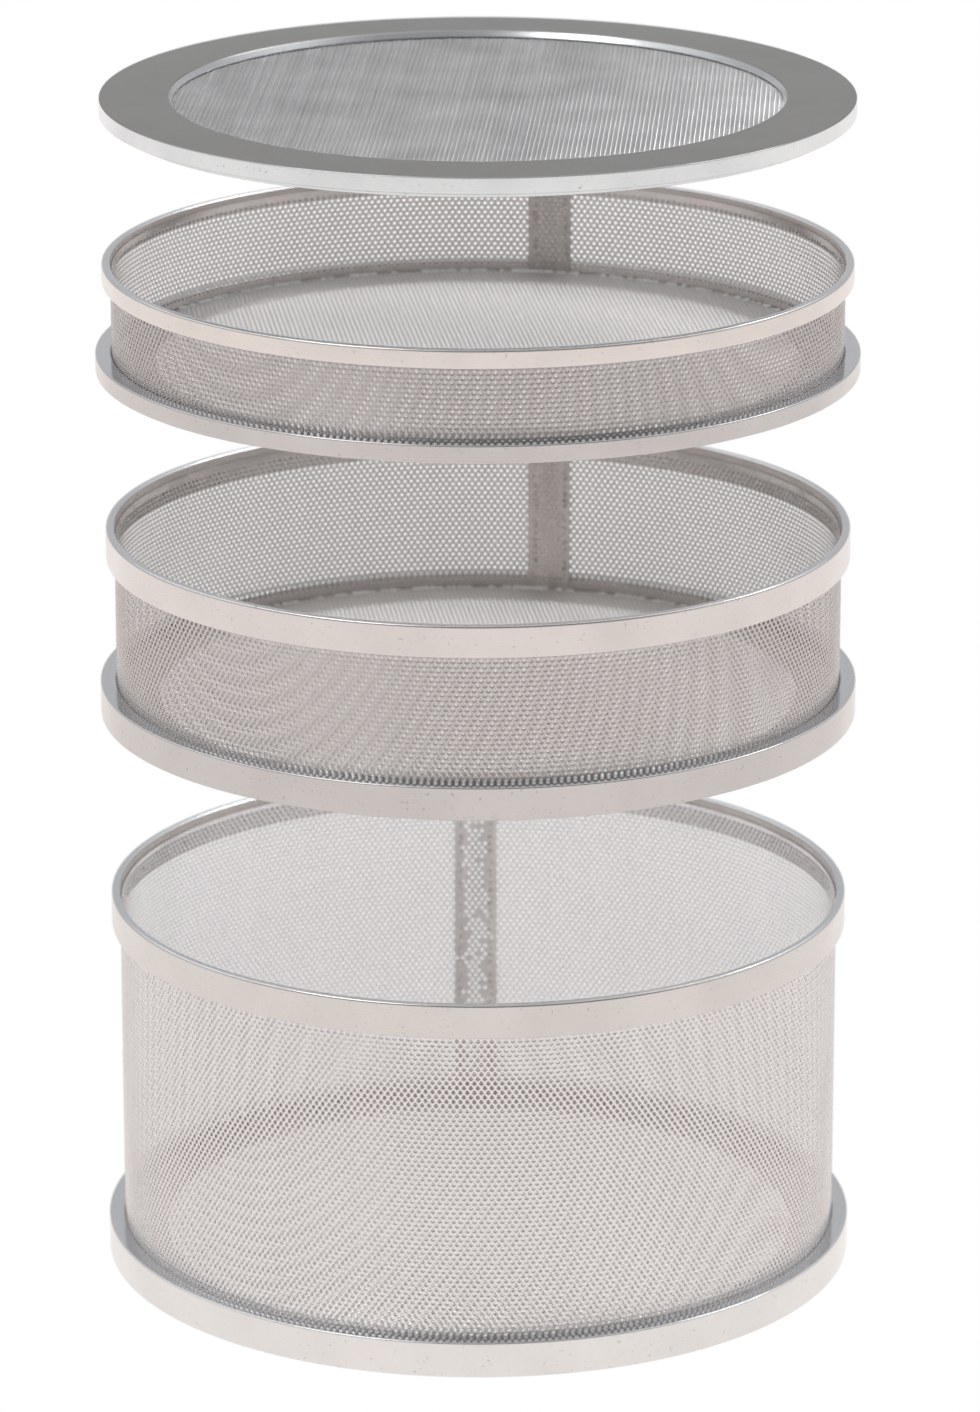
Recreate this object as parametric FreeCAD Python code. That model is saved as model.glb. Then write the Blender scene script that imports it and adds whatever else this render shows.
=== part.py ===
import FreeCAD, Part
import math
import os

# Round nesting sieve: three perforated baskets and a wire-cloth lid on one axis, opened out one above
# the other. Millimetres. +Z is up along the axis, and the origin is the centre of the tall basket's
# underside.

RIM_OUTER_R = 100.0       # outside of every basket's top hoop
RIM_THICK = 2.35          # radial thickness of the flat-bar hoop
RIM_CHAMFER = 0.3
SHEET = 0.3               # thickness of the perforated sheet of the walls and floors
BASE_OUTER_R = 102.0      # outside of every base ring
BASE_CHAMFER = 0.4
SEAT_CLEARANCE = 0.3      # radial gap between a base ring's recess and the hoop it drops over
SEAT_LEAD_IN = 0.3
HOOP_INNER_R = 86.0       # flat support hoop under the floor
HOOP_GAP = 0.35           # radial gap that lets the support hoop pass inside the hoop below
HOOP_THICK = 0.8
FLOOR_EDGE_GAP = 0.05     # between the floor's cut edge and the inner layer of the lap seam
LAP_WIDTH = 12.2          # width of the wall's overlapped seam

WELD_RISE = 0.25          # how far a spot weld stands off the sheet
RIM_WELD_R = 0.8
RIM_WELD_COUNT = 72
SEAM_WELD_R = 0.9
SEAM_WELD_PITCH = 2.0
SEAM_WELD_INSET = 1.8     # from the edge of the lap to its column of welds
FLOOR_WELD_R = 0.7
FLOOR_WELD_HEIGHT = 0.5
FLOOR_WELD_COUNT = 96

LID_OUTER_R = 100.0
LID_OPENING_R = 80.7
LID_THICK = 4.4           # overall height of the lid's edge
LID_PLATE = 1.8           # thickness of its flat top
LID_CHAMFER = 0.4
LID_SPIGOT_THICK = 2.35
LID_SPIGOT_DROP = 1.4     # how far the locating ring reaches below the lid's edge
LID_CLOTH_THICK = 0.92    # two wires, where one crosses another
LID_CLOTH_GAP = 0.3       # between the cloth's cut edge and the locating ring
LID_RETAINER_INNER_R = 81.5
LID_RETAINER_THICK = 0.8
LID_WELD_R = 1.0
LID_WELD_COUNT = 24
LID_BOTTOM_Z = 318.7

RIM_INNER_R = RIM_OUTER_R - RIM_THICK
WALL_INNER_R = RIM_INNER_R - SHEET
LAP_INNER_R = WALL_INNER_R - SHEET
FLOOR_R = LAP_INNER_R - FLOOR_EDGE_GAP
SEAT_R = RIM_OUTER_R + SEAT_CLEARANCE
HOOP_OUTER_R = RIM_INNER_R - HOOP_GAP

# Each tier: its underside's height, its own height, the hoop's height, the base ring's height, the
# depth of the recess under the base ring, the drop from the base ring's top to the underside of the
# floor, the bare height of the hoop above the wall, and the angle of the lap seam from +X in degrees.
TIERS = {
    "tall": dict(z=0.0, height=103.3, rim=9.3, base=9.8, seat=4.3, floor_drop=4.3, bare=2.4, seam=90.6),
    "medium": dict(z=154.4, height=51.6, rim=8.8, base=8.9, seat=4.3, floor_drop=4.3, bare=2.4, seam=78.0),
    "short": dict(z=249.3, height=29.3, rim=5.2, base=4.9, seat=2.0, floor_drop=2.9, bare=1.7, seam=78.0),
}

Z_AXIS = FreeCAD.Vector(0, 0, 1)
CENTRE = FreeCAD.Vector(0, 0, 0)
FULL_TURN = 360.0


def save(shape, node):
    """Writes one node's shape to its own file."""
    shape.exportStep(os.path.join("parts", node + ".step"))


def turned(profile, angle=FULL_TURN):
    """A ring, or a piece of one from +X, turned about the axis from (radius, height) corners."""
    corners = [FreeCAD.Vector(r, 0, z) for r, z in profile]
    outline = Part.makePolygon(corners + corners[:1])
    return Part.Face(outline).revolve(CENTRE, Z_AXIS, angle)


def tube(inner_r, outer_r, low, high, angle=FULL_TURN):
    """A ring, or a piece of one, of rectangular section."""
    return turned([(inner_r, low), (outer_r, low), (outer_r, high), (inner_r, high)], angle)


def disc(radius, low, high):
    """A flat round plate on the axis."""
    return Part.makeCylinder(radius, high - low, FreeCAD.Vector(0, 0, low))


def around(shape, angle):
    """A copy of the shape turned about the axis by an angle in degrees."""
    copy = shape.copy()
    copy.rotate(CENTRE, Z_AXIS, angle)
    return copy


def even_angles(count):
    """Angles in degrees that share a full turn, starting half a step from +X."""
    return [FULL_TURN * (i + 0.5) / count for i in range(count)]


def lap_angle():
    """The angle in degrees that the lapped seam covers."""
    return math.degrees(LAP_WIDTH / WALL_INNER_R)


def wall_nugget(radius, wall_r, height):
    """A spot weld: a low round pad on the inside of a cylinder, at angle 0."""
    start = FreeCAD.Vector(wall_r - 2 * WELD_RISE, 0, height)
    rod = Part.makeCylinder(radius, 4 * WELD_RISE, start, FreeCAD.Vector(1, 0, 0))
    skin = tube(wall_r - WELD_RISE, wall_r, height - 2 * radius, height + 2 * radius)
    return rod.common(skin).Solids[0]


def clear_of_seam(tier, count, half_width, radius):
    """Even angles round the axis that keep a weld of that half width off the lapped seam."""
    clear = lap_angle() / 2 + math.degrees(2 * half_width / radius)
    return [a for a in even_angles(count) if abs(a - tier["seam"]) > clear]


def tier_top(tier):
    """Height of the top of a basket's hoop."""
    return tier["z"] + tier["height"]


def wall_top(tier):
    """Height of the top edge of a basket's wall, a little below the top of its hoop."""
    return tier_top(tier) - tier["bare"]


def base_top(tier):
    """Height of the base ring's flat top."""
    return tier["z"] + tier["base"]


def floor_level(tier):
    """Height of the underside of the floor, which stands on the support hoop."""
    return base_top(tier) - tier["floor_drop"]


def rim_band(tier):
    """The flat-bar hoop round a basket's top, with its long edges eased."""
    top = tier_top(tier)
    low = top - tier["rim"]
    c = RIM_CHAMFER
    return turned([
        (RIM_INNER_R, low), (RIM_OUTER_R - c, low), (RIM_OUTER_R, low + c), (RIM_OUTER_R, top - c),
        (RIM_OUTER_R - c, top), (RIM_INNER_R + c, top), (RIM_INNER_R, top - c),
    ])


def base_ring(tier):
    """The base ring: a broad flat top round the wall, and a recess below for the next hoop."""
    low = tier["z"]
    top = base_top(tier)
    ceiling = low + tier["seat"]
    c = BASE_CHAMFER
    return turned([
        (SEAT_R + SEAT_LEAD_IN, low), (BASE_OUTER_R - c, low), (BASE_OUTER_R, low + c),
        (BASE_OUTER_R, top - c), (BASE_OUTER_R - c, top), (RIM_INNER_R, top),
        (RIM_INNER_R, ceiling), (SEAT_R, ceiling), (SEAT_R, low + SEAT_LEAD_IN),
    ])


def wall_sheet(tier):
    """The perforated wall as a closed skin, doubled where its two ends lap."""
    low = floor_level(tier)
    wall = tube(WALL_INNER_R, RIM_INNER_R, low, wall_top(tier))
    lap = tube(LAP_INNER_R, WALL_INNER_R, low, wall_top(tier), lap_angle())
    lap = around(lap, tier["seam"] - lap_angle() / 2)
    return wall.fuse(lap).removeSplitter().Solids[0]


def floor_sheet(tier):
    """The perforated floor as a closed skin."""
    low = floor_level(tier)
    return disc(FLOOR_R, low, low + SHEET)


def floor_hoop(tier):
    """The flat hoop that the floor and the wall's lower edge stand on."""
    top = floor_level(tier)
    return tube(HOOP_INNER_R, HOOP_OUTER_R, top - HOOP_THICK, top)


def rim_welds(tier):
    """Spot welds that hold the wall to the hoop, half way up the stretch where they overlap."""
    height = tier_top(tier) - (tier["bare"] + tier["rim"]) / 2
    pad = wall_nugget(RIM_WELD_R, WALL_INNER_R, height)
    return [around(pad, a) for a in clear_of_seam(tier, RIM_WELD_COUNT, RIM_WELD_R, WALL_INNER_R)]


def seam_welds(tier):
    """Two columns of spot welds, one near each edge of the lapped seam."""
    low = base_top(tier)
    height = wall_top(tier) - low
    count = int(height / SEAM_WELD_PITCH) - 1
    first = low + (height - (count - 1) * SEAM_WELD_PITCH) / 2
    offset = lap_angle() / 2 - math.degrees(SEAM_WELD_INSET / LAP_INNER_R)
    pads = []
    for i in range(count):
        pad = wall_nugget(SEAM_WELD_R, LAP_INNER_R, first + i * SEAM_WELD_PITCH)
        pads += [around(pad, tier["seam"] + side * offset) for side in (-1, 1)]
    return pads


def floor_welds(tier):
    """Tack welds on the floor's edge, against the wall."""
    middle = FLOOR_R - FLOOR_WELD_R
    start = FreeCAD.Vector(middle, 0, floor_level(tier) + SHEET)
    tack = Part.makeCylinder(FLOOR_WELD_R, FLOOR_WELD_HEIGHT, start)
    return [around(tack, a) for a in even_angles(FLOOR_WELD_COUNT)]


def lid_plate_z():
    """Height of the underside of the lid's flat top."""
    return LID_BOTTOM_Z + LID_THICK - LID_PLATE


def lid_cloth_r():
    """Radius of the lid's wire disc."""
    return RIM_INNER_R - LID_SPIGOT_THICK - LID_CLOTH_GAP


def lid_ring():
    """The lid's flat washer-like plate with a skirt that stands on the hoop below."""
    low = LID_BOTTOM_Z
    top = low + LID_THICK
    c = LID_CHAMFER
    return turned([
        (RIM_INNER_R, low), (LID_OUTER_R - c, low), (LID_OUTER_R, low + c), (LID_OUTER_R, top - c),
        (LID_OUTER_R - c, top), (LID_OPENING_R + c, top), (LID_OPENING_R, top - c),
        (LID_OPENING_R, lid_plate_z()), (RIM_INNER_R, lid_plate_z()),
    ])


def lid_locating_ring():
    """The ring inside the skirt that drops into the hoop below and centres the lid."""
    inner = RIM_INNER_R - LID_SPIGOT_THICK
    return tube(inner, HOOP_OUTER_R, LID_BOTTOM_Z - LID_SPIGOT_DROP, lid_plate_z())


def lid_cloth():
    """The lid's wire disc as a closed skin, held up against the underside of the plate."""
    return disc(lid_cloth_r(), lid_plate_z() - LID_CLOTH_THICK, lid_plate_z())


def lid_retaining_ring():
    """The flat ring that clamps the lid's cloth from below."""
    top = lid_plate_z() - LID_CLOTH_THICK
    return tube(LID_RETAINER_INNER_R, lid_cloth_r(), top - LID_RETAINER_THICK, top)


def lid_welds():
    """Plug welds under the lid's retaining ring."""
    low = lid_plate_z() - LID_CLOTH_THICK - LID_RETAINER_THICK - WELD_RISE
    middle = (LID_RETAINER_INNER_R + lid_cloth_r()) / 2
    pad = Part.makeCylinder(LID_WELD_R, WELD_RISE, FreeCAD.Vector(middle, 0, low))
    return [around(pad, a) for a in even_angles(LID_WELD_COUNT)]


def main():
    os.makedirs("parts", exist_ok=True)
    for name, tier in TIERS.items():
        save(rim_band(tier), name + "_rim_band")
        save(base_ring(tier), name + "_base_ring")
        save(wall_sheet(tier), name + "_wall_sheet")
        save(floor_sheet(tier), name + "_floor_sheet")
        save(floor_hoop(tier), name + "_floor_hoop")
        save(Part.makeCompound(rim_welds(tier)), name + "_rim_welds")
        save(Part.makeCompound(seam_welds(tier)), name + "_seam_welds")
        save(Part.makeCompound(floor_welds(tier)), name + "_floor_welds")
    save(lid_ring(), "lid_ring")
    save(lid_locating_ring(), "lid_locating_ring")
    save(lid_cloth(), "lid_cloth")
    save(lid_retaining_ring(), "lid_retaining_ring")
    save(Part.makeCompound(lid_welds()), "lid_welds")


main()
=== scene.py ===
import math

import bmesh
import bpy
import numpy as np
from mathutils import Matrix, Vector


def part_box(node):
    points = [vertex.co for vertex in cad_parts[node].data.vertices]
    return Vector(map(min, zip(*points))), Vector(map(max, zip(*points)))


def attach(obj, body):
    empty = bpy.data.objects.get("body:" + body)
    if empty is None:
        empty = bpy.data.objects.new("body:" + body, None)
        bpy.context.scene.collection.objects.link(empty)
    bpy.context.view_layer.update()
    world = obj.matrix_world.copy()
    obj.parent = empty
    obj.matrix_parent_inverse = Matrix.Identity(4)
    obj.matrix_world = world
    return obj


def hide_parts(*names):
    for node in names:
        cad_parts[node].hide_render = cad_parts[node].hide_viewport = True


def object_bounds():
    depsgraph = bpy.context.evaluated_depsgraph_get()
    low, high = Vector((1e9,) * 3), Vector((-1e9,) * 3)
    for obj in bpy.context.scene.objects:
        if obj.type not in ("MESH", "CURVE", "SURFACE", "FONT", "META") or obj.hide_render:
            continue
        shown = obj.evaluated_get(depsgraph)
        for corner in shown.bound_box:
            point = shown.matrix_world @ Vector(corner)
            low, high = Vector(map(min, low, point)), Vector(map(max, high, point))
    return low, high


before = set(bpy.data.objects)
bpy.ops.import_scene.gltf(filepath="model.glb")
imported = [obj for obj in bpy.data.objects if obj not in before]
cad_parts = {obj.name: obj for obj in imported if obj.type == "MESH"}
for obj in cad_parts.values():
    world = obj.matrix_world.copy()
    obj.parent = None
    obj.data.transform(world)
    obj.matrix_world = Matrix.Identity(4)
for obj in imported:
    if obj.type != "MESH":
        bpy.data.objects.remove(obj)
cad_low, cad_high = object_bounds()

# Metres, in the frame of the CAD. Heights come from the CAD nodes' boxes. Radii and hole sizes are
# named here, because the boxes of faceted rings are a little small.

MM = 0.001
UP = np.array([0.0, 0.0, 1.0])
TIERS = ("tall", "medium", "short")
RNG = np.random.default_rng(20)

# Rings. Each *_ROUND is how far an outline's corners are eased.
RIM_OUTER_R = 100.0 * MM
RIM_INNER_R = 97.65 * MM
RIM_ROUND = 0.7 * MM
BASE_OUTER_R = 102.0 * MM
BASE_ROUND = 0.45 * MM
BASE_SEAT = {"tall": 4.3 * MM, "medium": 4.3 * MM, "short": 2.0 * MM}   # depth of the recess
SEAT_R = 100.3 * MM
HOOP_INNER_R = 86.0 * MM
HOOP_OUTER_R = 97.3 * MM
HOOP_ROUND = 0.15 * MM
LATHE_STEPS = 360

# Perforated sheet
SHEET = 0.3 * MM
WALL_INNER_R = RIM_INNER_R - SHEET
LAP_INNER_R = WALL_INNER_R - SHEET
FLOOR_R = 97.0 * MM
FLOOR_LEAN = 6.6              # degrees from +Y to the floor's rows of holes
HOLE_R = 0.48 * MM
HOLE_SIDES = 8
HOLES_ROUND = 336             # holes in one row of a wall
HOLE_PITCH = 2 * math.pi * RIM_INNER_R / HOLES_ROUND
ROW_PITCH = 1.29 * MM         # height from one row of holes to the next
DISH = 0.14 * MM              # how far the sheet rolls down at the edge of a hole
DISH_SHADE = 2.1              # how much more the dish is shaded than its depth alone would give
CREASE = 50                   # degrees between faces from which an edge stays sharp
PIECE_CELLS = 4080            # holes in one piece of sheet, so that none holds over 200 000 triangles
WALL_HEAD = 1.0 * MM          # plain sheet above the top row of holes
FOOT_PLAIN = {"tall": 2.4 * MM, "medium": 2.4 * MM, "short": 1.7 * MM}   # plain wall above the floor

# The lap seam. On the tall basket the holes of its two layers line up. On the others the inner layer is
# half a pitch along, so that its metal covers the wall's holes and the seam is nearly opaque.
SEAM_ANGLE = {"tall": 90.6, "medium": 78.0, "short": 78.0}
LAP_WIDTH = 12.2 * MM
LAP_SHIFT = {"tall": 0.0, "medium": 0.5, "short": 0.5}       # in hole pitches
LAP_SHUT = {"tall": 0.33, "medium": 0.24, "short": 0.24}     # share of the width shut at each edge
LAP_RAGGED = 0.075            # how ragged the border of the shut holes is, as a share of the width
LAP_SPARE_ROWS = 3            # rows that are drawn past both ends and cropped
LAP_HEAD = 0.3 * MM           # from the top of the wall down to the lap
LAP_GAP = 0.01 * MM           # between the seam's two layers

# Lid
LID_OPENING_R = 80.7 * MM
LID_PLATE = 1.8 * MM
LID_BEVEL = 0.9 * MM
LID_LIP = 0.2 * MM            # upright edge below the bevel
LID_ROUND = 0.35 * MM
LID_SPIGOT_INNER_R = 95.3 * MM
LID_CLOTH_R = 95.0 * MM
LID_RETAINER_INNER_R = 81.5 * MM
LID_WIRE_R = 0.23 * MM
LID_WIRE_SIDES = 4
LID_WIRE_PITCH = 1.24 * MM
LID_LEAN = -3.2               # degrees from +Y to the cloth's warp wires
LID_CRIMP = {"warp": 0.34 * MM, "weft": 0.06 * MM}
LID_CLAMPED = 0.95            # crimp between the rings, in wire radii
LID_SWAY = {"warp": 0.05 * MM, "weft": 0.015 * MM}

# Welds. A low and a high value are the ends of an even spread.
WELD_SINK = 0.02 * MM         # how far a spot's foot goes into the sheet
RIM_SPOTS = 72
RIM_SPOT = {"length": 0.45 * MM, "width": 0.4 * MM, "rise": 0.2 * MM}
RIM_SPOT_CLEAR = 4.4          # degrees to each side of the seam that have no rim spots
SEAM_SPOT_INSET = 1.8 * MM    # from the lap's edges
SEAM_SPOT_PITCH = 2.0 * MM
SEAM_SPOT_FOOT = 0.9 * MM     # from the foot of the seam to the lowest spots
SEAM_SPOT_HEAD = 0.8 * MM     # and the least from the highest ones to its top
SEAM_SPOT_R = (0.6 * MM, 0.95 * MM)
SEAM_SPOT_RISE = (0.08 * MM, 0.2 * MM)
SEAM_SPOT_STRAY = 0.06        # degrees to either side
FLOOR_BEADS = 600
FLOOR_BEAD_IN = 0.45 * MM     # from the floor's edge to the middle of the bead
FLOOR_BEAD_SINK = 0.05 * MM
FLOOR_BEAD_LENGTH = (0.5 * MM, 1.7 * MM)
FLOOR_BEAD_WIDTH = (0.6 * MM, 0.95 * MM)
FLOOR_BEAD_RISE = 0.6         # of its width
FLOOR_BEAD_TILT = 75          # degrees
FLOOR_BEAD_BREAK = -0.9       # strength below which the bead is missing

# Colours
# Each tier has its own copy of the same steels, differing only in brightness: painted light and shade for
# how each basket is lit.
HOOP_SIDE = {"tall": (0.64, 0.61, 0.59), "medium": (0.68, 0.64, 0.62), "short": (0.71, 0.66, 0.63)}
BASE_SIDE = {"tall": (0.72, 0.70, 0.69), "medium": (0.56, 0.53, 0.52), "short": (0.56, 0.53, 0.52)}
# Top faces of the rings: a painted reflection of the bluish sky.
RING_TOP_PAINTED_REFLECTION = (0.78, 0.80, 0.82)
SHEET_OUT = {"tall": (0.71, 0.68, 0.67), "medium": (0.53, 0.495, 0.48), "short": (0.47, 0.435, 0.425)}
# Inside of the walls: painted light, lighter than outside, for light that the stacked tiers keep out.
SHEET_IN_PAINTED_LIGHT = {"tall": (0.99, 0.98, 0.99), "medium": (0.75, 0.73, 0.72), "short": (0.86, 0.82, 0.81)}
LAP = {"tall": (0.90, 0.88, 0.86), "medium": (0.78, 0.74, 0.72), "short": (0.78, 0.74, 0.72)}
# Cut faces in the holes: painted shade, dark because the bores lie in shadow.
BORE_SHADE = (0.30, 0.28, 0.27)
FLOOR = (0.74, 0.715, 0.70)
# The floor's support hoop: painted light, near-white and not metallic so that it reads bright under the
# floor where little light reaches.
SUPPORT_PAINTED_LIGHT = (0.95, 0.94, 0.93)
LID_SIDE = (0.70, 0.72, 0.73)
# Top of the lid plate: painted shade, darker for the dim surroundings it reflects.
LID_TOP_PAINTED_SHADE = (0.255, 0.25, 0.23)
WIRE_DULL = (0.21, 0.21, 0.212)
WIRE_BRIGHT = (0.9, 0.9, 0.9)
# Weld beads and spots: painted highlight, white and not metallic so that they read as bright glints.
WELD_PAINTED_HIGHLIGHT = (1.0, 1.0, 1.0)
WELD_DARK = (0.88, 0.88, 0.87)
SPOT_DARK = (0.52, 0.46, 0.44)
WHITE = (1.0, 1.0, 1.0)

# The light that comes from each height: -1 straight below, 0 the horizon, 1 straight above.
SKY = [
    (-1.0, (1.11, 1.07, 1.05)), (-0.05, (1.11, 1.07, 1.05)), (0.02, (0.62, 0.62, 0.63)),
    (0.36, (0.50, 0.50, 0.51)), (0.60, (1.10, 1.10, 1.12)), (1.0, (1.50, 1.51, 1.53)),
]
SKY_TOP = 2.0                 # brighter than any of them
HORIZON = (-0.03, 0.05)       # heights where the card below fades in

# A large grey card in front of the object, above the horizon: the direction of its middle, how nearly a
# direction points there where the card begins and where it is full, and how it changes the light.
CARD = {"middle": (0.0, -0.97, 0.25), "begins": 0.2, "full": 0.6, "strength": 0.30}

# Lamps: place, aim, size and power. The glow lights only the lid's cloth.
KEY = ((-1.4, -1.2, 2.2), (0, 0, 0.15), 1.4, 18.0)
BACK = ((1.0, 1.4, 2.2), (0, 0, 0.3), 0.8, 12.0)
GLOW = ((0.16, 0.10, 0.44), (0.06, 0, 0.31), 0.08, 0.85)

# Camera
LENS = 178.5
SENSOR = 36.0
FAR_CLIP = 200.0
ELEVATION = 17.19             # degrees
DISTANCE = 1.897
AIM = (0.0032, 0.0, 0.1538)
SHARP_PLACE = (0.0, 0.0, 0.15)
SHARP_SHARE = 0.05            # how far from that place towards the camera the picture is sharpest
FSTOP = 18.0


# ---------------------------------------------------------------- meshes

def new_piece(name, points, face_groups, body, material, replaced=(), sharp=None):
    """A mesh from points and arrays of faces that rides on a CAD body and stands for CAD nodes."""
    mesh = bpy.data.meshes.new(name)
    sides = np.concatenate([np.full(len(group), group.shape[1]) for group in face_groups])
    corners = np.concatenate([group.ravel() for group in face_groups])
    starts = np.concatenate([[0], np.cumsum(sides)[:-1]])
    mesh.vertices.add(len(points))
    mesh.vertices.foreach_set("co", np.asarray(points, np.float32).ravel())
    mesh.loops.add(len(corners))
    mesh.loops.foreach_set("vertex_index", corners.astype(np.int32))
    mesh.polygons.add(len(sides))
    mesh.polygons.foreach_set("loop_start", starts.astype(np.int32))
    mesh.polygons.foreach_set("use_smooth", np.full(len(sides), True))
    mesh.update(calc_edges=True)
    if sharp is not None:
        mesh.set_sharp_from_angle(angle=math.radians(sharp))
    piece = bpy.data.objects.new(name, mesh)
    bpy.context.scene.collection.objects.link(piece)
    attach(piece, body)
    if replaced:
        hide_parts(*replaced)
    mesh.materials.append(material)
    return piece


def mark(piece, name, kind, domain, values):
    """Stores a value for each point, face or corner of a piece, for its material or its shading."""
    made = piece.data.attributes.new(name, kind, domain)
    key = "vector" if kind == "FLOAT_VECTOR" else "value"
    made.data.foreach_set(key, np.asarray(values, np.float32).ravel())


def eased(corners, size, steps=4):
    """A closed (radius, height) outline with each corner rounded by a short curve."""
    points = np.array(corners, float)
    out = []
    for i, corner in enumerate(points):
        before = points[i - 1] - corner
        after = points[(i + 1) % len(points)] - corner
        reach = min(size, np.linalg.norm(before) / 2.5, np.linalg.norm(after) / 2.5)
        start = corner + before / np.linalg.norm(before) * reach
        end = corner + after / np.linalg.norm(after) * reach
        for t in np.linspace(0, 1, steps):
            out.append((1 - t) ** 2 * start + 2 * t * (1 - t) * corner + t * t * end)
    return np.array(out)


def lathe(name, outline, body, material, replaced=()):
    """A ring turned from a closed, counter-clockwise (radius, height) outline."""
    n = len(outline)
    turn = np.linspace(0, 2 * math.pi, LATHE_STEPS, endpoint=False)
    x = np.outer(np.cos(turn), outline[:, 0])
    y = np.outer(np.sin(turn), outline[:, 0])
    z = np.tile(outline[:, 1], (LATHE_STEPS, 1))
    points = np.stack([x, y, z], -1).reshape(-1, 3)
    i = np.arange(LATHE_STEPS)[:, None]
    j = (i + 1) % LATHE_STEPS
    k = np.arange(n)[None, :]
    m = (k + 1) % n
    quads = np.stack([i * n + k, j * n + k, j * n + m, i * n + m], -1).reshape(-1, 4)
    piece = new_piece(name, points, [quads], body, material, replaced)
    weighted = piece.modifiers.new("flat faces", "WEIGHTED_NORMAL")
    weighted.weight = 100


def levels(node):
    """Lowest and highest height of a CAD node."""
    low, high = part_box(node)
    return low.z, high.z


# ------------------------------------------------------- perforated sheet

# A flat sheet is drawn as eight-sided cells, one round each hole. Grid points are (u, level): u counts
# half hole pitches, and each row of holes has three levels, its own middle and the two heights where
# the corners of neighbouring cells meet.

CELL_RISE = HOLE_PITCH ** 2 / (8 * ROW_PITCH)
CELL_U = np.array([1, 1, 0, -1, -1, -1, 0, 1])
CELL_LEVEL = np.array([0, 1, 2, 1, 0, -1, -2, -1])
PLAIN_CELL = np.array([[0, 1, 2, 3], [0, 3, 4, 7], [4, 5, 6, 7]])
NEXT = np.roll(np.arange(HOLE_SIDES), -1)


def lattice(columns, rows):
    """(u, row) of staggered holes, with a row's holes following each other."""
    column, row = np.meshgrid(np.arange(columns), rows)
    return np.stack([2 * column.ravel() + row.ravel() % 2 + 1, row.ravel()], -1)


def level_height(level):
    """Height of a grid level above the middle of row 0."""
    offsets = np.array([0.0, ROW_PITCH / 2 - CELL_RISE, ROW_PITCH / 2 + CELL_RISE])
    return level // 3 * ROW_PITCH + offsets[level % 3]


def perforated(cells, is_open=None, period=None, foot=None, head=None):
    """Flat points, faces and a flag for points on holes' edges, for a sheet of cells.

    cells is an array of (u, row), and is_open says which have holes: all, if it is left out. With a
    period the sheet closes on itself after that many half pitches. foot and head are the heights of
    the plain sheet's lower and upper edges.
    """
    is_open = np.full(len(cells), True) if is_open is None else is_open
    columns = period or int(cells[:, 0].max()) + 2
    first, last = int(cells[:, 1].min()), int(cells[:, 1].max())
    level_count = 3 * (last - first + 2)
    grid_u = (cells[:, :1] + CELL_U) % columns
    grid_level = 3 * (cells[:, 1:] - first) + 2 + CELL_LEVEL
    grid = grid_level * columns + grid_u
    edge_start = level_count * columns
    ring_start = edge_start + 2 * columns
    holed = grid[is_open]
    ring = ring_start + np.arange(len(holed) * HOLE_SIDES).reshape(-1, HOLE_SIDES)
    quads = [
        np.stack([ring, holed, holed[:, NEXT], ring[:, NEXT]], -1).reshape(-1, 4),
        grid[~is_open][:, PLAIN_CELL].reshape(-1, 4),
    ]
    u = np.arange(columns)
    after = (u + 1) % columns
    if foot is not None:
        under = (u - cells[cells[:, 1] == first][0, 0]) % 2 == 0
        edge = np.where(under, 0, 1) * columns + u
        low = edge_start + u
        quads.append(np.stack([low, low[after], edge[after], edge], -1))
    if head is not None:
        over = (u - cells[cells[:, 1] == last][0, 0]) % 2 == 0
        edge = (3 * (last - first) + np.where(over, 4, 3)) * columns + u
        top = edge_start + columns + u
        quads.append(np.stack([edge, edge[after], top[after], top], -1))
    quads = np.concatenate(quads)
    rise = np.repeat(first * ROW_PITCH + level_height(np.arange(level_count) - 2), columns)
    rise = np.concatenate([rise, np.repeat([foot or 0.0, head or 0.0], columns)])
    sheet_uv = np.stack([np.tile(u * HOLE_PITCH / 2, level_count + 2), rise], -1)
    turn = 2 * math.pi * np.arange(HOLE_SIDES) / HOLE_SIDES
    centre = cells[is_open] * [HOLE_PITCH / 2, ROW_PITCH]
    ring_uv = centre[:, None, :] + HOLE_R * np.stack([np.cos(turn), np.sin(turn)], -1)
    uv = np.concatenate([sheet_uv, ring_uv.reshape(-1, 2)])
    used, packed = np.unique(quads, return_inverse=True)
    return uv[used], packed.reshape(-1, 4), used >= ring_start


def open_edges(faces, count):
    """The directed edges that only one face has."""
    sides = faces.shape[1]
    edges = np.concatenate([faces[:, [i, (i + 1) % sides]] for i in range(sides)])
    key = edges[:, 0].astype(np.int64) * count + edges[:, 1]
    back = edges[:, 1].astype(np.int64) * count + edges[:, 0]
    return edges[~np.isin(key, back)]


def unit(vectors):
    return vectors / np.linalg.norm(vectors, axis=-1, keepdims=True)


def face_directions(points, faces):
    """The normals of triangles or quads."""
    half = faces.shape[1] // 2
    corner = points[faces]
    return unit(np.cross(corner[:, half] - corner[:, 0], corner[:, -1] - corner[:, half - 1]))


def dished_normals(outer, faces, is_rim, plain):
    """The outer face's normals, which lean into the holes at their edges and are plain elsewhere."""
    leaning = np.zeros_like(outer)
    directions = face_directions(outer, faces)
    for corner in range(faces.shape[1]):
        np.add.at(leaning, faces[:, corner], directions)
    lean = unit(leaning) - plain
    return np.where(is_rim[:, None], unit(plain + DISH_SHADE * lean), plain)


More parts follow.
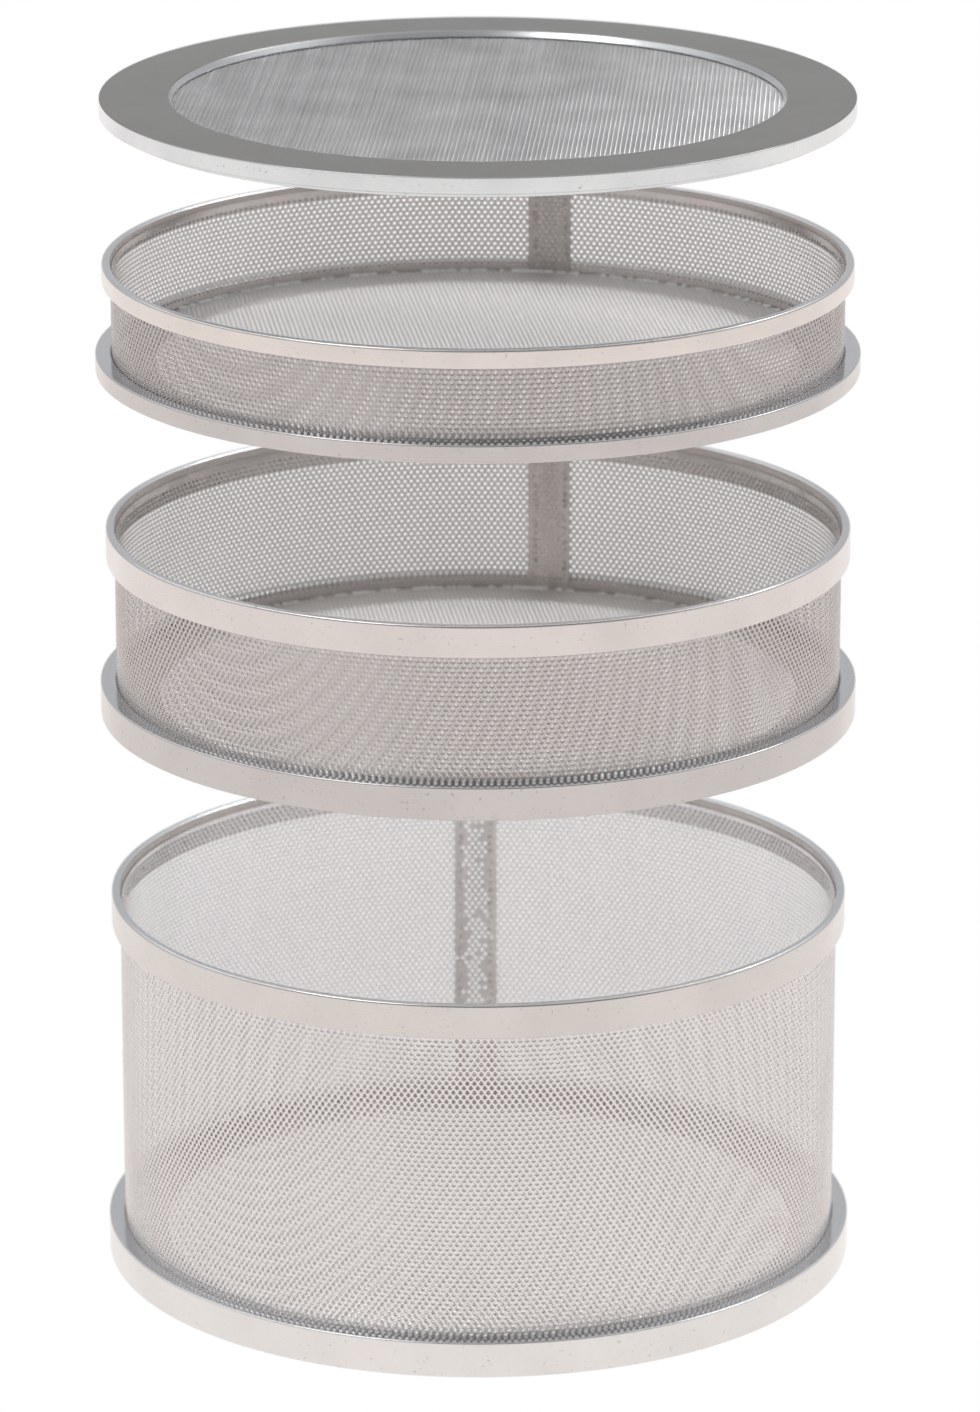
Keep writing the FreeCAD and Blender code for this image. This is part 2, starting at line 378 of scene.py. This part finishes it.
def punched_piece(name, flat, place, body, material, replaced=()):
    """A flat sheet given thickness. place(uv, depth) gives a point below the outer face.

    Round each hole the sheet is dished on both sides. Elsewhere its normals are those of plain sheet,
    so that no line shows where two pieces meet. The cut faces carry a mark for the material.
    """
    uv, faces, is_rim = flat
    count = len(uv)
    surface = np.zeros(count)
    dish = DISH * is_rim
    outer = place(uv, dish)
    points = np.concatenate([outer, place(uv, SHEET - dish)])
    edges = open_edges(faces, count)
    cuts = np.stack([edges[:, 1], edges[:, 0], edges[:, 0] + count, edges[:, 1] + count], -1)
    groups = [faces, faces[:, ::-1] + count, cuts]
    piece = new_piece(name, points, groups, body, material, replaced, sharp=CREASE)

    plain = unit(place(uv, surface) - place(uv, surface + MM))
    above = dished_normals(outer, faces, is_rim, plain)
    below = above - 2 * np.sum(above * plain, -1, keepdims=True) * plain
    normals = np.concatenate([above, below])
    sheet_corners = [normals[group.ravel()] for group in groups[:2]]
    cut_corners = np.repeat(face_directions(points, cuts), cuts.shape[1], axis=0)
    mark(piece, "custom_normal", "FLOAT_VECTOR", "CORNER", np.concatenate([*sheet_corners, cut_corners]))
    is_cut = np.repeat([0.0, 0.0, 1.0], [len(group) for group in groups])
    mark(piece, "cut_face", "FLOAT", "FACE", is_cut)


def rolled(radius, z0, turn0=0.0):
    """Rolls a flat sheet into a cylinder, with v = 0 at height z0."""
    def place(uv, depth):
        angle = turn0 + uv[:, 0] / RIM_INNER_R
        r = radius - depth
        return np.stack([r * np.cos(angle), r * np.sin(angle), z0 + uv[:, 1]], -1)
    return place


def wall_rows(tier):
    """The height of the lowest row of holes in a wall, and the number of rows."""
    floor_top = levels(tier + "_floor_sheet")[1]
    wall_top = levels(tier + "_wall_sheet")[1]
    first = floor_top + FOOT_PLAIN[tier] + ROW_PITCH / 2
    return first, int((wall_top - WALL_HEAD - first) / ROW_PITCH + 0.5)


def wall_sheet(tier, material):
    """The perforated wall, in closed bands that each hold some rows of holes."""
    node = tier + "_wall_sheet"
    low, high = levels(node)
    first, rows = wall_rows(tier)
    bands = math.ceil(rows * HOLES_ROUND / PIECE_CELLS)
    for i, band in enumerate(np.array_split(np.arange(rows), bands)):
        flat = perforated(
            lattice(HOLES_ROUND, band),
            period=2 * HOLES_ROUND,
            foot=low - first if i == 0 else None,
            head=high - first if i == bands - 1 else None,
        )
        name = f"{tier}_wall_rows_{i + 1}"
        place = rolled(RIM_INNER_R, first)
        punched_piece(name, flat, place, tier + "_basket", material, [node])


def cropped(flat, u_range, v_range):
    """A flat sheet cut straight along four lines, in triangles."""
    uv, faces, is_rim = flat
    shape = bmesh.new()
    layer = shape.verts.layers.float.new("rim")
    corners = [shape.verts.new((*p, 0)) for p in uv]
    for corner, value in zip(corners, is_rim):
        corner[layer] = value
    for face in faces:
        shape.faces.new([corners[i] for i in face])
    for axis, (low, high) in enumerate((u_range, v_range)):
        for value, sign in ((low, -1), (high, 1)):
            at = [0, 0, 0]
            at[axis] = value
            away = [0, 0, 0]
            away[axis] = sign
            everything = [*shape.verts, *shape.edges, *shape.faces]
            bmesh.ops.bisect_plane(shape, geom=everything, plane_co=at, plane_no=away, clear_outer=True)
    bmesh.ops.triangulate(shape, faces=shape.faces)
    shape.verts.index_update()
    uv = np.array([v.co[:2] for v in shape.verts])
    # Where a cut crosses a hole's edge, the new point has a value below 1 and isn't dished.
    is_rim = np.array([v[layer] > 0.99 for v in shape.verts])
    faces = np.array([[v.index for v in f.verts] for f in shape.faces])
    shape.free()
    return uv, faces, is_rim


def lap_strip(tier, material):
    """The inner layer of the wall's lapped seam, with its holes shut by welding near both edges."""
    low, high = levels(tier + "_wall_sheet")
    first, rows = wall_rows(tier)
    columns = math.ceil(LAP_WIDTH / HOLE_PITCH) + 2
    cells = lattice(columns, np.arange(-LAP_SPARE_ROWS, rows + LAP_SPARE_ROWS))
    across = cells[:, 0] / (2 * columns) + RNG.normal(0, LAP_RAGGED, len(cells))
    in_rows = (cells[:, 1] >= 0) & (cells[:, 1] < rows)
    flat = perforated(cells, in_rows & (np.abs(across - 0.5) < 0.5 - LAP_SHUT[tier]))
    edge = round(math.radians(SEAM_ANGLE[tier]) * RIM_INNER_R / HOLE_PITCH - columns / 2)
    start = (edge + LAP_SHIFT[tier]) * HOLE_PITCH / RIM_INNER_R
    side = (columns * HOLE_PITCH - LAP_WIDTH) / 2
    flat = cropped(flat, (side, side + LAP_WIDTH), (low - first, high - first - LAP_HEAD))
    place = rolled(WALL_INNER_R - LAP_GAP, first, start)
    punched_piece(tier + "_wall_lap", flat, place, tier + "_basket", material)


def floor_sheet(tier, material):
    """The perforated floor, with the notched edge that cutting between its holes leaves."""
    node = tier + "_floor_sheet"
    top = levels(node)[1]
    columns = int(FLOOR_R / HOLE_PITCH) * 2 + 3
    rows = int(FLOOR_R / ROW_PITCH) * 2 + 3
    cells = lattice(columns, np.arange(rows))
    middle = np.array([columns * HOLE_PITCH, (rows - 1) * ROW_PITCH]) / 2
    holes = cells * [HOLE_PITCH / 2, ROW_PITCH] - middle
    cells = cells[np.hypot(holes[:, 0], holes[:, 1]) < FLOOR_R - HOLE_PITCH / 3]
    lean = math.radians(FLOOR_LEAN)
    turn = np.array([[-math.sin(lean), math.cos(lean)], [-math.cos(lean), -math.sin(lean)]])

    def flat_floor(uv, depth):
        return np.column_stack([(uv - middle) @ turn, top - depth])

    # Whole rows go to each piece, and the pieces hold about as many holes.
    pieces = math.ceil(len(cells) / PIECE_CELLS)
    share = np.cumsum(np.bincount(cells[:, 1]))[cells[:, 1]] * pieces // (len(cells) + 1)
    for i in range(pieces):
        flat = perforated(cells[share == i])
        name = f"{tier}_floor_part_{i + 1}"
        punched_piece(name, flat, flat_floor, tier + "_basket", material, [node])


# ----------------------------------------------------------- woven cloth

def swept(paths, up, side, radius, sides):
    """Points and faces of wires swept along arrays of centre points."""
    turn = 2 * math.pi * np.arange(sides) / sides
    around = radius * (np.cos(turn)[:, None] * up + np.sin(turn)[:, None] * side)
    k = np.arange(sides)
    j = (k + 1) % sides
    points, quads, start = [], [], 0
    for path in paths:
        i = np.arange(len(path) - 1)[:, None] * sides
        tube = np.stack([i + k, i + sides + k, i + sides + j, i + j], -1).reshape(-1, 4)
        caps = np.stack([k, (len(path) - 1) * sides + k[::-1]])
        points.append((path[:, None, :] + around).reshape(-1, 3))
        quads += [tube + start, caps + start]
        start += len(path) * sides
    return np.concatenate(points), [np.concatenate(quads)]


def lid_wires(family, z):
    """The direction across one family of wires, and the wires' centre points."""
    is_weft = family == "weft"
    turn = math.radians(LID_LEAN + 90 * is_weft)
    along = np.array([-math.sin(turn), math.cos(turn), 0.0])
    across = np.array([math.cos(turn), math.sin(turn), 0.0])
    count = int(LID_CLOTH_R / LID_WIRE_PITCH)
    wires = []
    for i in range(-count + 1, count):
        offset = i * LID_WIRE_PITCH
        stations = int(math.sqrt(LID_CLOTH_R ** 2 - offset ** 2) / LID_WIRE_PITCH)
        step = np.arange(-stations, stations + 1)
        centre = step[:, None] * LID_WIRE_PITCH * along + offset * across
        clamped = np.hypot(centre[:, 0], centre[:, 1]) > LID_OPENING_R
        wave = np.where((step + i + is_weft) % 2 == 0, 1.0, -1.0)
        wave = wave * np.where(clamped, LID_WIRE_R * LID_CLAMPED, LID_CRIMP[family])
        sway = LID_SWAY[family] * (math.sin(7.0 * i) + np.sin(step * 0.11 + 3.0 * i))
        centre = centre + sway[:, None] * across
        wires.append(centre + (z + wave)[:, None] * UP)
    return across, wires


def lid_cloth(material):
    """The lid's woven wire disc: strongly crimped warp wires over nearly straight weft wires."""
    node = "lid_cloth"
    low, high = levels(node)
    for family in ("warp", "weft"):
        across, wires = lid_wires(family, (low + high) / 2)
        points, faces = swept(wires, UP, across, LID_WIRE_R, LID_WIRE_SIDES)
        piece = new_piece("lid_cloth_" + family, points, faces, "lid", material, [node])
        shade = RNG.random(len(wires)) ** 5 if family == "warp" else np.full(len(wires), 0.2)
        shade = np.repeat(shade, [len(wire) * LID_WIRE_SIDES for wire in wires])
        mark(piece, "wire_shade", "FLOAT", "POINT", shade)


# ------------------------------------------------------------------ rings

def bar(inner, outer, node):
    """The corners of a plain ring's section."""
    low, high = levels(node)
    return [(inner, low), (outer, low), (outer, high), (inner, high)]


def basket_rings(tier, hoop, ring, support):
    """The flat-bar hoop round the top, the base ring with the recess below it and the floor's hoop."""
    body = tier + "_basket"
    node = tier + "_rim_band"
    outline = eased(bar(RIM_INNER_R, RIM_OUTER_R, node), RIM_ROUND)
    lathe(tier + "_rim", outline, body, hoop, [node])
    node = tier + "_base_ring"
    low, high = levels(node)
    ceiling = low + BASE_SEAT[tier]
    outline = eased([
        (SEAT_R, low), (BASE_OUTER_R, low), (BASE_OUTER_R, high), (RIM_INNER_R, high),
        (RIM_INNER_R, ceiling), (SEAT_R, ceiling),
    ], BASE_ROUND)
    lathe(tier + "_base", outline, body, ring, [node])
    node = tier + "_floor_hoop"
    outline = eased(bar(HOOP_INNER_R, HOOP_OUTER_R, node), HOOP_ROUND)
    lathe(tier + "_support_hoop", outline, body, support, [node])


def lid_rings(material):
    """The lid's plate with its skirt, its locating ring and the ring that clamps the cloth."""
    low, high = levels("lid_ring")
    under = high - LID_PLATE
    plate = eased([
        (RIM_INNER_R, low), (RIM_OUTER_R, low), (RIM_OUTER_R, high), (LID_OPENING_R + LID_BEVEL, high),
        (LID_OPENING_R, under + LID_LIP), (LID_OPENING_R, under), (RIM_INNER_R, under),
    ], LID_ROUND)
    lathe("lid_plate", plate, "lid", material, ["lid_ring"])
    spigot = eased(bar(LID_SPIGOT_INNER_R, HOOP_OUTER_R, "lid_locating_ring"), LID_ROUND)
    lathe("lid_spigot", spigot, "lid", material, ["lid_locating_ring"])
    clamp = eased(bar(LID_RETAINER_INNER_R, LID_CLOTH_R, "lid_retaining_ring"), HOOP_ROUND)
    lathe("lid_clamp", clamp, "lid", material, ["lid_retaining_ring"])


# ------------------------------------------------------------------ welds

class Beads:
    """Low rounded blobs of weld metal on a circle, all in one mesh."""

    sides, tiers = 10, 3

    def __init__(self):
        self.points = []
        self.count = 0

    def add(self, radius, degrees, z, tilt, length, width, rise):
        """A blob of half length and half width. tilt is 0 for one that points inwards, 90 for up."""
        turn = math.radians(degrees)
        lean = math.radians(tilt)
        inward = np.array([-math.cos(turn), -math.sin(turn), 0.0])
        along = np.array([-math.sin(turn), math.cos(turn), 0.0])
        axis = inward * math.cos(lean) + UP * math.sin(lean)
        across = np.cross(axis, along)
        centre = np.array([radius * math.cos(turn), radius * math.sin(turn), z])
        angle = 2 * math.pi * np.arange(self.sides) / self.sides
        uneven = RNG.uniform(0.85, 1.1, self.sides)
        base = (length * np.cos(angle) * uneven)[:, None] * along
        base = base + (width * np.sin(angle) * uneven)[:, None] * across
        for tier in range(self.tiers):
            lift = tier / self.tiers * math.pi / 2
            self.points.append(centre + base * math.cos(lift) + rise * math.sin(lift) * axis)
        self.points.append((centre + rise * axis)[None, :])
        self.count += 1

    def piece(self, name, body, slot, material, node):
        n, t = self.sides, self.tiers
        k = np.arange(n)
        j = (k + 1) % n
        rings = np.arange(t - 1)[:, None] * n
        quads = np.stack([rings + k, rings + j, rings + n + j, rings + n + k], -1).reshape(-1, 4)
        tip = (t - 1) * n
        caps = np.stack([tip + k, tip + j, np.full(n, tip + n)], -1)
        start = (np.arange(self.count) * (t * n + 1))[:, None, None]
        quads = (quads[None] + start).reshape(-1, 4)
        caps = (caps[None] + start).reshape(-1, 3)
        foot = k[::-1][None] + start[:, 0]
        new_piece(name, np.concatenate(self.points), [quads, caps, foot], body, material, [node])


def rim_welds(tier, material):
    """Spot welds inside the hoop."""
    node = tier + "_rim_welds"
    low, high = levels(node)
    beads = Beads()
    for i in range(RIM_SPOTS):
        degrees = 360 / RIM_SPOTS * (i + 0.5)
        if abs(degrees - SEAM_ANGLE[tier]) > RIM_SPOT_CLEAR:
            beads.add(WALL_INNER_R + WELD_SINK, degrees, (low + high) / 2, 0, **RIM_SPOT)
    beads.piece(tier + "_rim_spots", tier + "_basket", "weld_metal", material, node)


def seam_welds(tier, material):
    """Spot welds down both edges of the lapped seam."""
    node = tier + "_seam_welds"
    low, high = levels(node)
    beads = Beads()
    offset = math.degrees((LAP_WIDTH / 2 - SEAM_SPOT_INSET) / LAP_INNER_R)
    for z in np.arange(low + SEAM_SPOT_FOOT, high - SEAM_SPOT_HEAD, SEAM_SPOT_PITCH):
        for side in (-1, 1):
            degrees = SEAM_ANGLE[tier] + side * offset + RNG.normal(0, SEAM_SPOT_STRAY)
            size = RNG.uniform(*SEAM_SPOT_R)
            rise = RNG.uniform(*SEAM_SPOT_RISE)
            beads.add(LAP_INNER_R + WELD_SINK, degrees, z, 0, size, size, rise)
    beads.piece(tier + "_seam_spots", tier + "_basket", "weld_metal", material, node)


def floor_welds(tier, material):
    """The broken bead of weld metal round the floor's cut edge."""
    node = tier + "_floor_welds"
    z = levels(node)[0] - FLOOR_BEAD_SINK
    beads = Beads()
    for degrees in np.sort(RNG.uniform(0, 360, FLOOR_BEADS)):
        turn = math.radians(degrees)
        strength = math.sin(9 * turn) + math.sin(23 * turn + 1.0) + RNG.normal(0, 0.8)
        if strength > FLOOR_BEAD_BREAK:
            length = RNG.uniform(*FLOOR_BEAD_LENGTH)
            width = RNG.uniform(*FLOOR_BEAD_WIDTH)
            rise = FLOOR_BEAD_RISE * width
            beads.add(FLOOR_R - FLOOR_BEAD_IN, degrees, z, FLOOR_BEAD_TILT, length, width, rise)
    beads.piece(tier + "_floor_bead", tier + "_basket", "weld_metal", material, node)


# -------------------------------------------------------------- materials

class Nodes:
    """Adds and links the nodes of one shader."""

    def __init__(self, owner):
        owner.use_nodes = True
        self.tree = owner.node_tree

    def add(self, kind, inputs=(), **settings):
        node = self.tree.nodes.new(kind)
        for key, value in settings.items():
            setattr(node, key, value)
        for key, value in dict(inputs).items():
            self.plug(value, node.inputs[key])
        return node

    def plug(self, value, socket):
        if isinstance(value, bpy.types.NodeSocket):
            self.tree.links.new(value, socket)
        elif isinstance(value, tuple) and socket.type == "RGBA" and len(value) == 3:
            socket.default_value = (*value, 1.0)
        else:
            socket.default_value = value

    def sum(self, operation, a, b=0.0, c=0.0):
        """One step of arithmetic, called by Blender's name for it."""
        return self.add("ShaderNodeMath", {0: a, 1: b, 2: c}, operation=operation).outputs[0]

    def mix(self, factor, a, b):
        node = self.add("ShaderNodeMix", data_type="RGBA")
        colours = [socket for socket in node.inputs if socket.type == "RGBA"]
        self.plug(factor, node.inputs[0])
        self.plug(a, colours[0])
        self.plug(b, colours[1])
        return next(socket for socket in node.outputs if socket.type == "RGBA")

    def dimmed(self, colour, amount):
        """A colour times a number."""
        return self.add("ShaderNodeVectorMath", {0: colour, "Scale": amount}, operation="SCALE").outputs[0]

    def dot(self, a, b):
        made = self.add("ShaderNodeVectorMath", {0: a, 1: b}, operation="DOT_PRODUCT")
        return made.outputs["Value"]

    def span(self, value, low, high, to_low=0.0, to_high=1.0):
        """A value carried from one range to another and kept inside it."""
        return self.add("ShaderNodeMapRange", {
            "Value": value, "From Min": low, "From Max": high, "To Min": to_low, "To Max": to_high,
        }).outputs[0]

    def parts(self, vector):
        """The x, y and z of a vector."""
        return self.add("ShaderNodeSeparateXYZ", {0: vector}).outputs

    def mark(self, name):
        """A value that the piece's mesh carries."""
        return self.add("ShaderNodeAttribute", attribute_name=name).outputs["Fac"]

    def place(self):
        return self.add("ShaderNodeTexCoord").outputs["Object"]

    def normal(self):
        return self.add("ShaderNodeNewGeometry").outputs["Normal"]

    def is_seen(self):
        """1 for what the camera sees directly, 0 for light and reflections."""
        return self.add("ShaderNodeLightPath").outputs["Is Camera Ray"]

    def noise(self, scale, detail=4.0, stretch=(1, 1, 1)):
        shaped = self.add("ShaderNodeMapping", {"Vector": self.place(), "Scale": stretch}).outputs[0]
        made = self.add("ShaderNodeTexNoise", {"Vector": shaped, "Scale": scale, "Detail": detail})
        return made.outputs["Fac"]

    def relief(self, height, strength):
        made = self.add("ShaderNodeBump", {"Height": height, "Strength": strength, "Distance": 0.2 * MM})
        return made.outputs[0]

    def turned_marks(self, across=9000.0):
        """Fine concentric tool marks that change slowly round the axis."""
        x, y, z = self.parts(self.place())
        radius = self.sum("SQRT", self.sum("MULTIPLY_ADD", y, y, self.sum("MULTIPLY", x, x)))
        vector = self.add("ShaderNodeCombineXYZ", {
            0: self.sum("MULTIPLY", radius, across),
            1: self.sum("MULTIPLY", z, across),
            2: self.sum("MULTIPLY", self.noise(14.0, 2.0), 6.0),
        }).outputs[0]
        return self.add("ShaderNodeTexNoise", {"Vector": vector, "Scale": 1.0, "Detail": 3.0}).outputs["Fac"]

    def facing_up(self):
        """1 on faces that look up or down, 0 on upright ones."""
        return self.span(self.sum("ABSOLUTE", self.parts(self.normal())[2]), 0.5, 0.85)

    def facing_axis(self):
        """1 on faces that look towards the axis, 0 on ones that look away from it."""
        made = self.add("ShaderNodeVectorMath", {0: self.place(), 1: (1, 1, 0)}, operation="MULTIPLY")
        return self.span(self.dot(made.outputs[0], self.normal()), 0.01, -0.01)


def metal(name, metallic=1.0):
    """A new metal material: its nodes and its surface."""
    material = bpy.data.materials.new(name)
    nodes = Nodes(material)
    surface = nodes.tree.nodes["Principled BSDF"].inputs
    surface["Metallic"].default_value = metallic
    return material, nodes, surface


def turned_steel(name, side, top, rough, top_rough, stained=0.94):
    """Satin ring steel: turned marks, slow blotches and a few dark specks; top faces get a painted
    reflection, brighter or darker.
    """
    material, n, surface = metal(name)
    marks = n.turned_marks()
    blotch = n.noise(45.0)
    specks = n.span(n.noise(1300.0, 1.0), 0.69, 0.76, 1.0, 0.72)
    tone = n.sum("MULTIPLY", n.span(blotch, 0.3, 0.7, 1.0, stained), specks)
    tone = n.sum("MULTIPLY", tone, n.span(marks, 0.3, 0.7, 0.985, 1.0))
    # Faces that look up or down take the top colour: a painted reflection, lighter on the rings and darker
    # on the lid.
    level = n.facing_up()
    n.plug(n.dimmed(n.mix(level, side, top), tone), surface["Base Color"])
    uneven = n.sum("ADD", n.span(marks, 0.3, 0.7, -0.03, 0.03), n.span(blotch, 0.3, 0.7, -0.03, 0.04))
    n.plug(n.sum("ADD", uneven, n.span(level, 0.0, 1.0, rough, top_rough)), surface["Roughness"])
    n.plug(n.relief(marks, 0.02), surface["Normal"])
    return material


def sheet_steel(name, outside, inside, cut_face, rough, metallic=1.0, stained=0.96):
    """Punched sheet: painted shade on the cut faces in the holes, a lighter painted tone inside, faint
    streaks and slow changes.
    """
    material, n, surface = metal(name, metallic)
    streak = n.noise(220.0, 3.0, (1, 1, 0.12))
    uneven = n.sum("MULTIPLY_ADD", streak, 0.5, n.sum("MULTIPLY", n.noise(35.0), 0.5))
    # Faces towards the axis take the inside colour, painted light; cut faces take the painted shade of the
    # bores.
    colour = n.mix(n.mark("cut_face"), n.mix(n.facing_axis(), outside, inside), cut_face)
    n.plug(n.dimmed(colour, n.span(uneven, 0.35, 0.65, 1.0, stained)), surface["Base Color"])
    n.plug(n.span(uneven, 0.3, 0.7, rough - 0.04, rough + 0.06), surface["Roughness"])
    return material


def wire_steel(name, dull, bright):
    """Drawn wire whose lines differ in brightness, from dull wires to a few bright ones."""
    material, n, surface = metal(name)
    shade = n.mark("wire_shade")
    tone = n.sum("MULTIPLY_ADD", shade, 0.75, n.sum("MULTIPLY", n.noise(50.0), 0.4))
    n.plug(n.mix(tone, dull, bright), surface["Base Color"])
    n.plug(n.span(shade, 0.0, 1.0, 0.34, 0.2), surface["Roughness"])
    return material


def weld_steel(name, light, dark, rough, metallic):
    """Rough weld metal with dull heat-marked patches."""
    material, n, surface = metal(name, metallic)
    patch = n.noise(900.0)
    n.plug(n.mix(n.span(patch, 0.4, 0.62), light, dark), surface["Base Color"])
    n.plug(n.span(patch, 0.3, 0.7, rough - 0.08, rough + 0.15), surface["Roughness"])
    n.plug(n.relief(patch, 0.4), surface["Normal"])
    return material


# ------------------------------------------------------------------ stage

def pale_floor():
    """A plain pale floor for the camera. What it reflects into the steel is part of the surroundings."""
    reach = 40.0
    mesh = bpy.data.meshes.new("stage_floor")
    corners = [(-reach, -reach, 0), (reach, -reach, 0), (reach, reach, 0), (-reach, reach, 0)]
    mesh.from_pydata(corners, [], [(0, 1, 2, 3)])
    plane = bpy.data.objects.new("stage_floor", mesh)
    plane.location.z = cad_low.z - 0.2 * MM
    bpy.context.scene.collection.objects.link(plane)
    material = bpy.data.materials.new("pale_floor")
    n = Nodes(material)
    n.tree.nodes.clear()
    white = n.add("ShaderNodeEmission", {"Color": WHITE}).outputs[0]
    clear = n.add("ShaderNodeBsdfTransparent").outputs[0]
    look = n.add("ShaderNodeMixShader", {0: n.is_seen(), 1: clear, 2: white}).outputs[0]
    n.add("ShaderNodeOutputMaterial", {"Surface": look})
    mesh.materials.append(material)


def studio():
    """Soft surroundings: a bright floor, grey round the horizon, bright overhead, and a card in front.

    The camera itself sees an even white.
    """
    world = bpy.data.worlds.new("studio")
    bpy.context.scene.world = world
    n = Nodes(world)
    n.tree.nodes.clear()
    direction = n.add("ShaderNodeTexCoord").outputs["Generated"]
    height = n.parts(direction)[2]
    grey = n.add("ShaderNodeValToRGB", {0: n.span(height, -1.0, 1.0)})
    ramp = grey.color_ramp
    while len(ramp.elements) < len(SKY):
        ramp.elements.new(0.5)
    for element, (level, colour) in zip(ramp.elements, SKY):
        element.position = (level + 1) / 2
        element.color = (*[value / SKY_TOP for value in colour], 1)
    near_card = n.span(n.dot(direction, CARD["middle"]), CARD["begins"], CARD["full"])
    on_card = n.sum("MULTIPLY", near_card, n.span(height, *HORIZON))
    power = n.span(on_card, 0.0, 1.0, SKY_TOP, SKY_TOP * CARD["strength"])
    lit = n.dimmed(grey.outputs[0], power)
    light = n.add("ShaderNodeBackground", {"Color": n.mix(n.is_seen(), lit, WHITE)})
    n.add("ShaderNodeOutputWorld", {"Surface": light.outputs[0]})


def link_aimed(thing, place, direction):
    """Puts a lamp or camera in the scene, looking in a direction."""
    thing.location = place
    thing.rotation_mode = "QUATERNION"
    thing.rotation_quaternion = Vector(direction).to_track_quat("-Z", "Y")
    bpy.context.scene.collection.objects.link(thing)


def lamp(name, place, aim, size, power):
    """A soft square lamp that looks at a point."""
    data = bpy.data.lights.new(name, "AREA")
    data.shape = "SQUARE"
    data.size = size
    data.energy = power
    made = bpy.data.objects.new(name, data)
    made.visible_camera = False
    link_aimed(made, place, Vector(aim) - Vector(place))
    return made


def lamps():
    """Two large soft lamps, and a small one that lights only the lid's cloth."""
    lamp("key", *KEY)
    lamp("back", *BACK)
    lit = bpy.data.collections.new("lit by the glow")
    for name in ("lid_cloth_warp", "lid_cloth_weft"):
        lit.objects.link(bpy.data.objects[name])
    lamp("glow", *GLOW).light_linking.receiver_collection = lit


def camera():
    """A long lens a little above the stack, looking along +Y, sharp on the near side of the walls."""
    data = bpy.data.cameras.new("camera")
    data.sensor_width = SENSOR
    data.lens = LENS
    data.clip_end = FAR_CLIP
    made = bpy.data.objects.new("camera", data)
    elevation = math.radians(ELEVATION)
    back = Vector((0.0, -math.cos(elevation), math.sin(elevation)))
    link_aimed(made, Vector(AIM) + back * DISTANCE, -back)
    focus = bpy.data.objects.new("focus", None)
    focus.location = SHARP_PLACE
    bpy.context.scene.collection.objects.link(focus)
    nearer = focus.constraints.new("COPY_LOCATION")
    nearer.target = made
    nearer.influence = SHARP_SHARE
    data.dof.use_dof = True
    data.dof.focus_object = focus
    data.dof.aperture_fstop = FSTOP
    bpy.context.scene.camera = made


def build():
    # Welds are white and not metallic: a painted highlight.
    weld = weld_steel("weld_steel", WELD_PAINTED_HIGHLIGHT, WELD_DARK, 0.35, 0.0)
    floor = sheet_steel("floor_steel", FLOOR, FLOOR, FLOOR, 0.42, 0.35)
    # The support hoop is painted near-white: painted light under the floor.
    support = sheet_steel("support_painted_light", SUPPORT_PAINTED_LIGHT, SUPPORT_PAINTED_LIGHT, SUPPORT_PAINTED_LIGHT, 0.5, 0.0)
    for tier in TIERS:
        # Per tier these copies differ only in colour: painted light and shade for how each basket is lit.
        hoop = turned_steel(tier + "_hoop_steel", HOOP_SIDE[tier], RING_TOP_PAINTED_REFLECTION, 0.27, 0.15)
        ring = turned_steel(tier + "_ring_steel", BASE_SIDE[tier], RING_TOP_PAINTED_REFLECTION, 0.24, 0.12)
        sheet = sheet_steel(tier + "_wall_steel", SHEET_OUT[tier], SHEET_IN_PAINTED_LIGHT[tier], BORE_SHADE, 0.16)
        lap = sheet_steel(tier + "_lap_steel", LAP[tier], LAP[tier], BORE_SHADE, 0.3, stained=0.75)
        spots = weld_steel(tier + "_seam_steel", LAP[tier], SPOT_DARK, 0.36, 1.0)
        basket_rings(tier, hoop, ring, support)
        wall_sheet(tier, sheet)
        lap_strip(tier, lap)
        floor_sheet(tier, floor)
        rim_welds(tier, weld)
        seam_welds(tier, spots)
        floor_welds(tier, weld)
    lid_rings(turned_steel("lid_steel", LID_SIDE, LID_TOP_PAINTED_SHADE, 0.26, 0.16, stained=0.9))
    lid_cloth(wire_steel("wire_steel", WIRE_DULL, WIRE_BRIGHT))
    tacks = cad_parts["lid_welds"].data.materials
    tacks.clear()
    tacks.append(weld)


build()
pale_floor()
studio()
lamps()
camera()
bpy.context.scene.view_settings.view_transform = "Standard"
